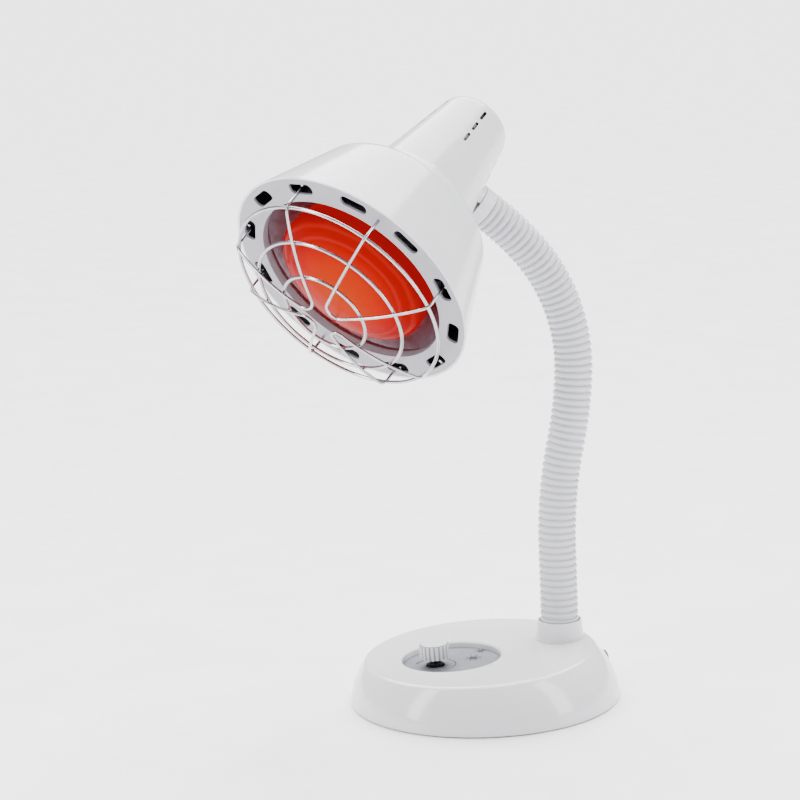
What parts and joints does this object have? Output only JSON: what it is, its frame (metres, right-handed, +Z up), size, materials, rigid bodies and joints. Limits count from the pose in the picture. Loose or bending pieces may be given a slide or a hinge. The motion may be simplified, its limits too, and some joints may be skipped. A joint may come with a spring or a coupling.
{
  "type": "infrared heat therapy lamp",
  "caption": "Table heat lamp with a red reflector bulb in a bell shade behind a wire guard, on a ribbed gooseneck over a round weighted base with a dimmer knob.",
  "frame": {"origin": "centre of the round base's underside, on the table", "axes": "+Z up; the dimmer knob is towards -Y and the gooseneck stands towards +Y; X is left to right seen from the knob side"},
  "size_m": [0.1846, 0.2258, 0.3685],
  "materials": {
    "white_abs": "glossy moulded",
    "ring_grey": "satin",
    "dial_grey": "satin printed",
    "neck_pvc": "semi-gloss ribbed",
    "steel": "zinc plated",
    "cable_pvc": "soft",
    "ferrule_dark": "satin",
    "pad_rubber": "matte",
    "ballast_iron": "as cast",
    "dark_plastic": "matte",
    "circuit_board": "solder mask",
    "aluminium": "spun",
    "ceramic": "glazed",
    "brass": "plain",
    "bulb_cap_metal": "rolled thread",
    "ruby_glass": "red glass, reflector coated",
    "clear_glass": "clear",
    "tungsten": "coiled wire",
    "chrome_wire": "bright plated"
  },
  "bodies": {
    "base": {"base_cover": "white_abs", "base_plate": "steel", "anti_slip_pad": "pad_rubber", "base_screws": "steel", "ballast": "ballast_iron", "ballast_screws": "steel", "dial_plate": "dial_grey", "dimmer_body": "dark_plastic", "dimmer_nut": "steel", "dimmer_board": "circuit_board", "board_screws": "steel", "filter_choke": "dark_plastic", "filter_capacitor": "dial_grey", "triac_heatsink": "aluminium", "cord_gland": "dark_plastic", "terminal_block": "dark_plastic", "neck_collar": "white_abs", "neck_fitting": "steel", "neck_lock_nut": "steel", "neck_sleeve_0": "neck_pvc", "neck_core_0": "steel", "neck_cable_0": "cable_pvc"},
    "knob": {"dimmer_knob": "white_abs", "dimmer_shaft": "steel"},
    "neck_1": {"neck_sleeve_1": "neck_pvc", "neck_core_1": "steel", "neck_cable_1": "cable_pvc"},
    "neck_2": {"neck_sleeve_2": "neck_pvc", "neck_core_2": "steel", "neck_cable_2": "cable_pvc"},
    "neck_3": {"neck_sleeve_3": "neck_pvc", "neck_core_3": "steel", "neck_cable_3": "cable_pvc"},
    "neck_4": {"neck_sleeve_4": "neck_pvc", "neck_core_4": "steel", "neck_cable_4": "cable_pvc"},
    "neck_5": {"neck_sleeve_5": "neck_pvc", "neck_core_5": "steel", "neck_cable_5": "cable_pvc"},
    "neck_6": {"neck_sleeve_6": "neck_pvc", "neck_core_6": "steel", "neck_cable_6": "cable_pvc", "neck_ferrule": "ferrule_dark", "swivel_nipple": "steel", "swivel_nut": "steel", "swivel_washer": "steel"},
    "head": {"shade": "white_abs", "front_ring": "ring_grey", "heat_shield": "aluminium", "lamp_holder": "ceramic", "holder_shell": "brass", "holder_contact": "brass", "holder_screws": "steel", "bulb_glass": "ruby_glass", "bulb_cap": "bulb_cap_metal", "bulb_stem": "clear_glass", "bulb_filament": "tungsten", "guard_rings": "chrome_wire", "guard_spokes": "chrome_wire"}
  },
  "joints": [
    {"name": "knob_turn", "type": "hinge", "parent": "base", "child": "knob", "pos_m": [0, -0.03169, 0.02352], "axis": [0, 0.0419, -0.9991], "range_deg": [0, 300]},
    {"name": "neck_low_bend", "type": "hinge", "parent": "base", "child": "neck_1", "pos_m": [0, 0.051, 0.0712], "axis": [0.9903, -0.1392, 0], "range_deg": [-20, 18]},
    {"name": "neck_low_sway", "type": "hinge", "parent": "neck_1", "child": "neck_2", "pos_m": [0.00012, 0.05185, 0.11318], "axis": [0.1387, 0.9873, -0.0779], "range_deg": [-15, 15]},
    {"name": "neck_mid_bend", "type": "hinge", "parent": "neck_2", "child": "neck_3", "pos_m": [0.00101, 0.05816, 0.15465], "axis": [0.9903, -0.1392, 0], "range_deg": [-20, 18]},
    {"name": "neck_high_bend", "type": "hinge", "parent": "neck_3", "child": "neck_4", "pos_m": [0.00186, 0.0642, 0.19616], "axis": [0.9903, -0.1392, 0], "range_deg": [-20, 18]},
    {"name": "neck_high_sway", "type": "hinge", "parent": "neck_4", "child": "neck_5", "pos_m": [0.00117, 0.05935, 0.23763], "axis": [0.1327, 0.9446, 0.3003], "range_deg": [-15, 15]},
    {"name": "neck_top_bend", "type": "hinge", "parent": "neck_5", "child": "neck_6", "pos_m": [-0.00157, 0.0398, 0.27442], "axis": [0.9903, -0.1392, 0], "range_deg": [-20, 18]},
    {"name": "head_turn", "type": "hinge", "parent": "neck_6", "child": "head", "pos_m": [-0.00607, 0.0078, 0.30561], "axis": [-0.1074, -0.7641, 0.6361], "range_deg": [-70, 50]}
  ],
  "couplings": [
    {"joint": "neck_mid_bend", "follows": "neck_low_bend", "ratio": 1},
    {"joint": "neck_top_bend", "follows": "neck_high_bend", "ratio": 1},
    {"joint": "neck_high_sway", "follows": "neck_low_sway", "ratio": 1}
  ]
}
